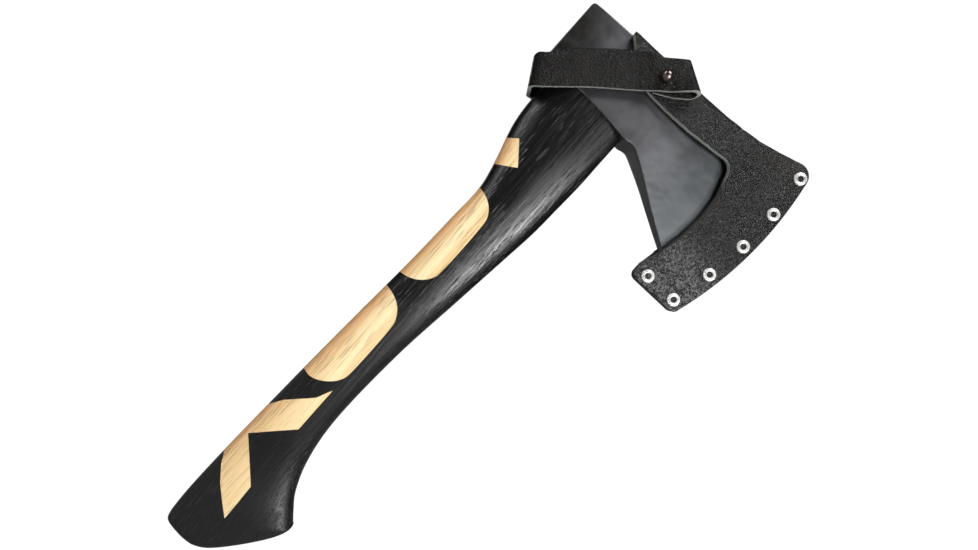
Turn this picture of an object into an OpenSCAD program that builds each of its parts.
// One-hand axe in its leather sheath.
// The eye and the handle run along Z, the bit points along +X, and Y is the thickness.
// The origin is the centre of the eye on the head's underside.

/* [Head] */
// Height of the poll, from underside to top edge
poll_h = 48.5; // [40:0.5:54]
// Distance from the eye's centre back to the poll's striking face
poll_back = 40.2; // [36:0.2:44]
// Thickness of the head across the eye
cheek_w = 26; // [24:0.5:26]
// Radius of the cutting edge's curve
bit_r = 232; // [225:1:234]
// Lowest point of the heel below the underside
heel_drop = 49.5; // [44:0.5:50]
// Length of the eye
eye_len = 50; // [46:0.5:52]
// Width of the eye
eye_w = 18; // [14:0.5:18.5]

/* [Handle] */
// Thickness of the grip, as a share of the drawn one
grip_share = 1; // [0.85:0.05:1]
// Depth of the kerf sawn in the tongue
kerf_depth = 36; // [20:1:42]
// Thickness of the wooden wedge at its top
wedge_w = 4; // [2:0.5:5]
// Outer radius of the steel ring wedge
ring_r = 5.5; // [4:0.25:6]

/* [Sheath] */
// Thickness of the sheath leather
leather_t = 2.6; // [2:0.1:2.6]
// Thickness of the welt between the two panels
welt_t = 3; // [2:0.1:3]
// Outside diameter of an eyelet's flange
eyelet_od = 9.2; // [8:0.2:10]
// Diameter of the hole through an eyelet
eyelet_bore = 3.6; // [3:0.1:3.8]

/* [Strap] */
// Thickness of the strap leather
strap_t = 2.4; // [1.8:0.1:2.4]
// Diameter of the ball on the stud
ball_d = 7.6; // [6.5:0.1:8]

/* [Hidden] */

steel_grey = [0.30, 0.31, 0.33];
stain_black = [0.10, 0.10, 0.10];
ash_pale = [0.85, 0.70, 0.48];
leather_black = [0.13, 0.12, 0.11];
nickel = [0.80, 0.80, 0.80];
dark_nickel = [0.40, 0.36, 0.34];

bit_axis = [-104, 13.5];        // centre of the cutting edge's curve, X and Z
cheek = cheek_w / 2;
bevel_len = 14;                 // width of the ground bevel
edge_half = 0.2;                // half thickness left at the cutting edge
fit = 0.05;                     // gap of a close fit
stand_off = 0.2;                // least gap between leather and steel
far = 80;                       // past every surface across the axe

panel_in = cheek + stand_off;   // inner face of a flat panel
panel_out = panel_in + leather_t;
welt_half = welt_t / 2;
pad_out = welt_half + leather_t;
fold_in = poll_h + stand_off;   // inner face of the fold over the top edge
fold_out = fold_in + leather_t;
sheath_edge_r = 245.7;          // outer edge of the leather along the bit
pocket_r = 233.5;               // where the welt starts
pad_top = -52;                  // the panels lie flat on the welt below this height

eyelet_r = eyelet_od / 2;
barrel_r = eyelet_bore / 2 + 0.6;
flange_t = 1.2;
eyelets = [[133.1, 54.7], [135.3, 26.1], [134.4, -2.3], [130.1, -30.1], [123.4, -57.5], [101.1, -57]];

stud = [25, 37.7];              // ball stud in front, rivet behind
neck_r = 2.2;
strap_in = panel_out + 0.2;
strap_out = strap_in + strap_t;
strap_angle = 38;               // the strap's run, up from the bend to the stud
bend_low = [-35.8, -19.7];      // outer face of the bend around the poll's corner
bend_high = [-47.8, 0.5];
bend_len = norm(bend_high - bend_low);
bend_turn = atan2(bend_high.y - bend_low.y, bend_high.x - bend_low.x);
bend_reach = 9;                 // from the bend's outer face to the strap's hinge line
bend_corner = 7;
loop_end = 21;                  // the folded tab's end beyond the stud
loop_r = 4.2;                   // outer radius of the fold
tail_len = 24;                  // length of the folded tail under the tab
back_end = 13;                  // the back run's end beyond the rivet
hole_gap = 0.2;

// Arc of points about a centre, from angle a to angle b in n steps
function arc(c, r, a, b, n) = [
    for (i = [0 : n])
        let (turn = a + (b - a) * i / n)
        c + r * [cos(turn), sin(turn)]
];

// Height angle, about the cutting edge's centre, of a point at height z and radius r
function bit_angle(z, r) = asin((z - bit_axis.y) / r);

// ---------- head ----------

// Underside of the head, from the poll to the front of the eye
underside = [[-poll_back + 1, 0], [-11, 0.8], [12, -1.2], [32.4, -4.1]];

poll_corner = 2.5;              // radius of the poll's top corner

// Side view of the steel head
head_side = concat(
    [[-poll_back, 1]], underside,
    [[34.2, -3.4], [37.6, -2.9], [40.5, -3.6], [56.7, -13.1], [76.6, -26.2], [95.9, -38.1], [109, -45.9]],
    arc(bit_axis, bit_r, bit_angle(-heel_drop, bit_r), bit_angle(poll_h, bit_r), 24),
    [[60, poll_h]],
    arc([poll_corner - poll_back, poll_h - poll_corner], poll_corner, 90, 180, 5)
);

// Top view of one cheek, from poll to edge
cheek_line = [
    [-poll_back, cheek - 0.8], [-30, cheek], [14, cheek], [33, 12.4], [46, 11], [56, 9.2], [66, 7.5],
    [79, 6], [92, 4.9], [105, 3.7], [114, 2.6], [130, 2]
];

module across(half = far) {
    rotate([90, 0, 0])
        translate([0, 0, -half])
            linear_extrude(2 * half) children();
}

module wedge_plan(line, low = -far, high = far) {
    translate([0, 0, low])
        linear_extrude(high - low)
            polygon(concat(line, [for (i = [len(line) - 1 : -1 : 0]) [line[i].x, -line[i].y]]));
}

module bit_bevel() {
    translate([bit_axis.x, 0, bit_axis.y])
        rotate([90, 0, 0])
            rotate_extrude($fn = 96)
                polygon([
                    [0, -far], [bit_r - 110, -far], [bit_r - bevel_len, -2.4], [bit_r, -edge_half],
                    [bit_r, edge_half], [bit_r - bevel_len, 2.4], [bit_r - 110, far], [0, far]
                ]);
}

module stadium(length, width) {
    side = length - width;
    square([side, width], center = true);
    for (s = [-1, 1]) translate([s * side / 2, 0]) circle(d = width, $fn = 64);
}

module axe_head() {
    color(steel_grey)
        difference() {
            intersection() {
                across(cheek + 1) polygon(head_side);
                wedge_plan(cheek_line);
                bit_bevel();
            }
            translate([0, 0, -20]) linear_extrude(100) stadium(eye_len, eye_w);
        }
}

// ---------- handle ----------

// Sections from the shoulder down to the fawn's foot.
// Each is [back X, back Z, front X, front Z, half thickness, squareness].
sections = [
    [-30.5, 4, 30.2, 4, 12.3, 2.3], [-31, -22, 30, -22, 12.6, 2.3], [-28.8, -42, 30, -42, 12.8, 2.2],
    [-22.6, -64, 29, -64, 12.8, 2.2], [-18.2, -86, 27.8, -86, 12.7, 2.2],
    [-18.8, -112, 24.8, -112, 12.5, 2.2], [-20.3, -152, 20.1, -152, 12.2, 2.2],
    [-23.1, -197, 14.8, -197, 12.1, 2.2], [-25.7, -242, 12.1, -242, 12.4, 2.2],
    [-27.4, -277, 12.6, -272, 12.7, 2.2], [-28.7, -304, 16.7, -296, 12.8, 2.2],
    [-29.5, -328, 23.6, -314, 12.7, 2.3], [-29.9, -346, 30.8, -324.4, 12.5, 2.6],
    [-29.8, -358, 35, -329.8, 12, 3], [-29.4, -366.5, 36.8, -333, 11.4, 3.4],
    [-28.8, -373.2, 32.4, -342.6, 11, 3.4], [-26.6, -377.2, 20.5, -358.5, 10.8, 3.4],
    [-17.5, -378.4, 8.2, -372.2, 10, 3], [-9.5, -379, 0.2, -377.6, 7.5, 2.4]
];
ring_sides = 32;
rings_between = 3;
egg = 0.10;                     // how far the widest point sits behind the middle

function smooth(a, b, c, d, t) =
    0.5 * (2 * b + (c - a) * t + (2 * a - 5 * b + 4 * c - d) * t * t + (3 * b - a - 3 * c + d) * t * t * t);

function section_at(i, t) = smooth(
    sections[max(i - 1, 0)], sections[i], sections[i + 1], sections[min(i + 2, len(sections) - 1)], t);

function power(v, n) = sign(v) * pow(abs(v), 2 / n);

function ring(s) = [
    for (k = [0 : ring_sides - 1])
        let (
            turn = 360 * (k + 0.5) / ring_sides,
            along = power(cos(turn), s[5]) - egg * pow(sin(turn), 2),
            share = (1 + along) / 2
        )
        [
            s[0] + (s[2] - s[0]) * share,
            s[4] * grip_share * power(sin(turn), s[5]),
            s[1] + (s[3] - s[1]) * share
        ]
];

module handle_loft() {
    last = len(sections) - 2;
    cuts = concat(
        [for (i = [0 : last], j = [0 : rings_between - 1]) section_at(i, j / rings_between)],
        [sections[last + 1]]
    );
    points = [for (s = cuts) each ring(s)];
    n = ring_sides;
    rows = len(cuts);
    sides = [
        for (r = [0 : rows - 2], k = [0 : n - 1])
            [r * n + k, r * n + (k + 1) % n, (r + 1) * n + (k + 1) % n, (r + 1) * n + k]
    ];
    top = [for (k = [n - 1 : -1 : 0]) k];
    bottom = [for (k = [0 : n - 1]) (rows - 1) * n + k];
    polyhedron(points, concat(sides, [top, bottom]), convexity = 4);
}

module kerf(extra) {
    rotate([90, 0, 90])
        translate([0, 0, -eye_len / 2])
            linear_extrude(eye_len)
                polygon([
                    [-wedge_w / 2 - extra, poll_h + 1], [-0.4 - extra, poll_h - kerf_depth - extra],
                    [0.4 + extra, poll_h - kerf_depth - extra], [wedge_w / 2 + extra, poll_h + 1]
                ]);
}

module ring_tube(extra) {
    ring_deep = 12;
    translate([0, 0, poll_h - ring_deep - extra])
        difference() {
            cylinder(r = ring_r + extra, h = ring_deep + 2, $fn = 64);
            translate([0, 0, -1]) cylinder(r = ring_r - 1 - extra, h = ring_deep + 4, $fn = 64);
        }
}

module below_top() {
    translate([-far, -far, -500]) cube([2 * far, 2 * far, 500 + poll_h - 0.1]);
}

module handle() {
    color(stain_black)
        difference() {
            union() {
                difference() {
                    handle_loft();
                    across() head_space();
                }
                translate([0, 0, -12])
                    linear_extrude(12 + poll_h - 0.1) stadium(eye_len - 2 * fit, eye_w - 2 * fit);
            }
            kerf(fit);
            ring_tube(fit);
        }
}

// Everything above the head's underside, with a close fit below it
module head_space() {
    polygon(concat(
        [[-far, underside[0].y - fit]], [for (p = underside) [p.x, p.y - fit]],
        [[far, underside[3].y - fit], [far, 60], [-far, 60]]
    ));
}

module kerf_wedge() {
    color(ash_pale)
        difference() {
            intersection() {
                kerf(0);
                below_top();
                linear_extrude(poll_h) stadium(eye_len - 4 * fit, eye_w - 4 * fit);
            }
            ring_tube(fit);
        }
}

module ring_wedge() {
    color(steel_grey)
        intersection() {
            ring_tube(0);
            below_top();
        }
}

// ---------- sheath ----------

heel_corner = [97.3, -58.6];    // rear corner of the leather under the heel
heel_corner_r = 4.5;
tip_corner = [126.6, -60.4];    // corner where the bottom edge meets the bit's edge
tip_corner_r = 3.6;

// Side view of both leather panels
panel_side = concat(
    [[-7.5, fold_out], [-7.5, 47.5], [-1, 41.5], [10, 33.5], [23, 26.2]],
    [[37.5, 25.1], [57, 25.3], [80, 27.8]],
    arc([87, 20], 9, 90, 10, 6),
    [[100, 8], [101.3, -8], [100, -24.5], [96.8, -39.2], [92.9, -52.5]],
    arc(heel_corner, heel_corner_r, 180, 270, 5),
    arc(tip_corner, tip_corner_r, 270, 345, 5),
    arc(bit_axis, sheath_edge_r, bit_angle(-59.5, sheath_edge_r), bit_angle(52, sheath_edge_r), 24),
    arc([129.4, 54], 9, 10, 100, 6),
    [[119, 60.4], [111.9, 57.6], [96.6, 52.8], [81.8, fold_out]]
);

// The same panels as the pocket sees them: open everywhere but along the fold
pocket_side = [
    [-20, fold_in], [81, fold_in], [96.2, fold_in + 1.3], [111, fold_in + 6], [122, fold_in + 10],
    [131, fold_in + 11.6], [160, fold_in + 11.6], [160, -90], [-20, -90]
];

// Outer and inner faces of a panel as seen from above
panel_line = [
    [-20, panel_in], [33, panel_in], [54, 12.2], [75, 10.4], [92, 7.8], [101, 6], [112, 3.6],
    [123.5, welt_half], [160, welt_half]
];

// Half thickness allowed at each height, so that the panels close on the heel's welt
heel_line = [[pad_top - 30, 0], [pad_top, 0], [pad_top + 8, 3.6], [far, far]];

module heel_limit(half) {
    rotate([90, 0, 90])
        translate([0, 0, -far])
            linear_extrude(4 * far)
                polygon(concat(
                    [for (p = heel_line) [half + p.y, p.x]],
                    [for (i = [len(heel_line) - 1 : -1 : 0]) [-half - heel_line[i].y, heel_line[i].x]]
                ));
}

module panels_outside() {
    intersection() {
        across(panel_out + 1) polygon(panel_side);
        wedge_plan([for (p = panel_line) [p.x, p.y + leather_t]], -100, 100);
        heel_limit(pad_out);
    }
}

module pocket() {
    intersection() {
        across(panel_out + 1) polygon(pocket_side);
        wedge_plan(panel_line, -100, 100);
        heel_limit(welt_half);
    }
}

module at_eyelets(radius) {
    for (p = eyelets)
        translate([p.x, far, p.y]) rotate([90, 0, 0]) cylinder(r = radius, h = 2 * far, $fn = 48);
}

module sheath_cover() {
    color(leather_black)
        difference() {
            panels_outside();
            pocket();
            at_eyelets(barrel_r + fit);
            panel_hole(1);
            panel_hole(-1);
        }
}

module sheath_welt() {
    inset = 0.3;
    welt_top = pad_top - 0.2;
    color(leather_black)
        difference() {
            across(welt_half - fit)
                polygon(concat(
                    arc(heel_corner, heel_corner_r - inset, 180, 270, 5),
                    arc(tip_corner, tip_corner_r - inset, 270, 345, 5),
                    arc(bit_axis, sheath_edge_r - inset, bit_angle(-59.5, sheath_edge_r),
                        bit_angle(52, sheath_edge_r), 24),
                    arc([129.4, 54], 5.5, 10, 150, 6),
                    arc(bit_axis, pocket_r, bit_angle(50, pocket_r), bit_angle(-49.5, pocket_r), 20),
                    [[118.4, welt_top], [93.6, welt_top]]
                ));
            at_eyelets(barrel_r + fit);
        }
}

module eyelet(p) {
    seat = pad_out + fit;
    color(nickel)
        translate([p.x, 0, p.y])
            rotate([90, 0, 0])
                difference() {
                    union() {
                        translate([0, 0, -seat]) cylinder(r = barrel_r, h = 2 * seat, $fn = 48);
                        translate([0, 0, seat]) cylinder(r = eyelet_r, h = flange_t / 2, $fn = 64);
                        translate([0, 0, seat + flange_t / 2])
                            cylinder(r1 = eyelet_r, r2 = eyelet_r - 1, h = flange_t / 2, $fn = 64);
                    }
                    translate([0, 0, -far]) cylinder(d = eyelet_bore, h = 2 * far, $fn = 48);
                }
}

module eyelet_washer(p) {
    seat = pad_out + fit;
    color(nickel)
        translate([p.x, 0, p.y])
            rotate([-90, 0, 0])
                difference() {
                    translate([0, 0, seat]) cylinder(r = eyelet_r, h = flange_t, $fn = 64);
                    translate([0, 0, -far]) cylinder(d = eyelet_bore, h = 2 * far, $fn = 48);
                }
}

// ---------- stud and rivet ----------

screw_r = 1.4;
screw_head_r = 4;
screw_head_t = 1;
neck_len = 6.9;                 // from the leather to below the ball
ball_rise = 1.6;                // from the neck's end to the ball's middle

module on_stud_axis(side) {
    translate([stud.x, 0, stud.y]) rotate([side * 90, 0, 0]) children();
}

// Hole for the neck, with room on the inside for the flat head; side 1 is the stud's and -1 the rivet's
module panel_hole(side) {
    start = panel_in - 1;
    on_stud_axis(side) {
        translate([0, 0, start]) cylinder(r = neck_r + fit, h = leather_t + 3, $fn = 48);
        translate([0, 0, start]) cylinder(r = screw_head_r + fit, h = 1 + screw_head_t + fit, $fn = 48);
    }
}

module ball_stud() {
    base = panel_in + screw_head_t + 2 * fit;
    color(dark_nickel)
        on_stud_axis(1)
            difference() {
                union() {
                    translate([0, 0, base]) cylinder(r = neck_r, h = leather_t + neck_len, $fn = 48);
                    translate([0, 0, panel_out + neck_len + ball_rise]) sphere(d = ball_d, $fn = 64);
                }
                translate([0, 0, base - 1]) cylinder(r = screw_r + fit, h = 6, $fn = 32);
            }
}

module stud_screw() {
    color(steel_grey)
        on_stud_axis(1) {
            translate([0, 0, panel_in]) cylinder(r = screw_head_r, h = screw_head_t, $fn = 48);
            translate([0, 0, panel_in]) cylinder(r = screw_r, h = 5, $fn = 32);
        }
}

module strap_rivet_post() {
    color(nickel)
        on_stud_axis(-1) {
            translate([0, 0, panel_in]) cylinder(r = screw_head_r, h = screw_head_t, $fn = 48);
            translate([0, 0, panel_in]) cylinder(r = neck_r, h = strap_out - panel_in + 0.6, $fn = 48);
        }
}

module strap_rivet_cap() {
    color(nickel)
        on_stud_axis(-1)
            difference() {
                union() {
                    translate([0, 0, strap_out + fit]) cylinder(r = 4.8, h = 0.8, $fn = 64);
                    translate([0, 0, strap_out + 0.8 + fit]) cylinder(r1 = 4.8, r2 = 3, h = 0.9, $fn = 64);
                }
                translate([0, 0, strap_out - 1]) cylinder(r = neck_r + fit, h = 1.7 + fit, $fn = 48);
            }
}

// ---------- strap ----------

// Side view of the strap's run, from its hinge line by the bend to past the tab
run_high = [
    [-43.2, 2.3], [-35.4, 10.4], [-26.1, 18.5], [-16.6, 26.5], [-11.9, 30.5], [0.2, 39.8], [8.7, 44.2],
    [15.9, 46.2], [27.7, 55.8], [32.8, 55.8]
];
run_low = [
    [47.8, 44.8], [43.6, 39.6], [28.9, 29.6], [21.4, 24.6], [-0.9, 8.4], [-19.5, -7.2], [-26.3, -14],
    [-30.5, -18.3]
];

// The half plane on the stud's side of a line parallel to the bend, so far from its outer face
module past_bend(distance) {
    translate([bend_low.x, bend_low.y])
        rotate(bend_turn - 180)
            translate([-2 * far, distance]) square([4 * far, 4 * far]);
}

module run_side(from) {
    intersection() {
        polygon(concat(run_high, run_low));
        past_bend(from);
    }
}

// The back run ends in a square cut a little beyond the rivet
module back_side() {
    difference() {
        run_side(bend_reach - 1);
        translate(stud) rotate(strap_angle) translate([back_end, -far]) square([far, 2 * far]);
    }
}

// The strap seen along its width: flat run, then a tab folded back under itself
module fold_section() {
    reach = 140;
    deck = strap_in + strap_t + 0.2;    // inner face of the layer that the ball passes through
    deck_end = 3.4;                     // where that layer starts to rise into the fold
    difference() {
        union() {
            translate([-reach, strap_in]) square([reach - 12, strap_t]);
            polygon([
                [-18, strap_in], [-12, strap_in], [deck_end, deck],
                [loop_end - loop_r, strap_in + 2 * loop_r - strap_t],
                [loop_end - loop_r, strap_in + 2 * loop_r], [deck_end, deck + strap_t], [-4, deck + strap_t],
                [-18, strap_in + strap_t]
            ]);
            translate([loop_end - loop_r, strap_in + loop_r]) circle(r = loop_r, $fn = 48);
            translate([loop_end - loop_r - tail_len, strap_in]) square([tail_len, strap_t]);
        }
        translate([loop_end - loop_r, strap_in + loop_r]) circle(r = loop_r - strap_t, $fn = 48);
        polygon([
            [-4, strap_in + strap_t], [loop_end - loop_r, strap_in + strap_t],
            [loop_end - loop_r, strap_in + 2 * loop_r - strap_t], [deck_end, deck], [-4, deck]
        ]);
    }
}

module strap_front_run() {
    color(leather_black)
        difference() {
            intersection() {
                across(strap_in + 20) run_side(bend_reach + fit);
                translate([stud.x, 0, stud.y])
                    rotate([0, -strap_angle, 0])
                        mirror([0, 1, 0])
                            translate([0, 0, -40]) linear_extrude(80) fold_section();
            }
            on_stud_axis(1)
                translate([0, 0, strap_in - 2]) cylinder(r = neck_r + hole_gap, h = 30, $fn = 48);
        }
}

module bend_section() {
    difference() {
        open_slab(strap_out, bend_corner);
        open_slab(strap_in, bend_corner - strap_t);
        translate([bend_reach, -far]) square([far, 2 * far]);
    }
}

// Half of a rounded slab that opens towards +X, with its end at the bend's outer face
module open_slab(half, corner) {
    start = strap_out - half;
    translate([start + corner, -half]) square([far, 2 * half]);
    translate([start, -half + corner]) square([far, 2 * (half - corner)]);
    for (s = [-1, 1])
        translate([start + corner, s * (half - corner)]) circle(r = corner, $fn = 48);
}

module strap_back_run() {
    color(leather_black)
        difference() {
            union() {
                translate([bend_low.x, 0, bend_low.y])
                    rotate([0, 90 - bend_turn, 0])
                        linear_extrude(bend_len) bend_section();
                rotate([90, 0, 0])
                    translate([0, 0, -strap_out]) linear_extrude(strap_t) back_side();
            }
            on_stud_axis(-1)
                translate([0, 0, strap_in - 2]) cylinder(r = neck_r + hole_gap, h = 30, $fn = 48);
        }
}

axe_head();
handle();
kerf_wedge();
ring_wedge();
sheath_cover();
sheath_welt();
eyelet(eyelets[0]);  // eyelet_1
eyelet(eyelets[1]);  // eyelet_2
eyelet(eyelets[2]);  // eyelet_3
eyelet(eyelets[3]);  // eyelet_4
eyelet(eyelets[4]);  // eyelet_5
eyelet(eyelets[5]);  // eyelet_6
eyelet_washer(eyelets[0]);  // eyelet_washer_1
eyelet_washer(eyelets[1]);  // eyelet_washer_2
eyelet_washer(eyelets[2]);  // eyelet_washer_3
eyelet_washer(eyelets[3]);  // eyelet_washer_4
eyelet_washer(eyelets[4]);  // eyelet_washer_5
eyelet_washer(eyelets[5]);  // eyelet_washer_6
ball_stud();
stud_screw();
strap_rivet_cap();
strap_rivet_post();
strap_front_run();
strap_back_run();
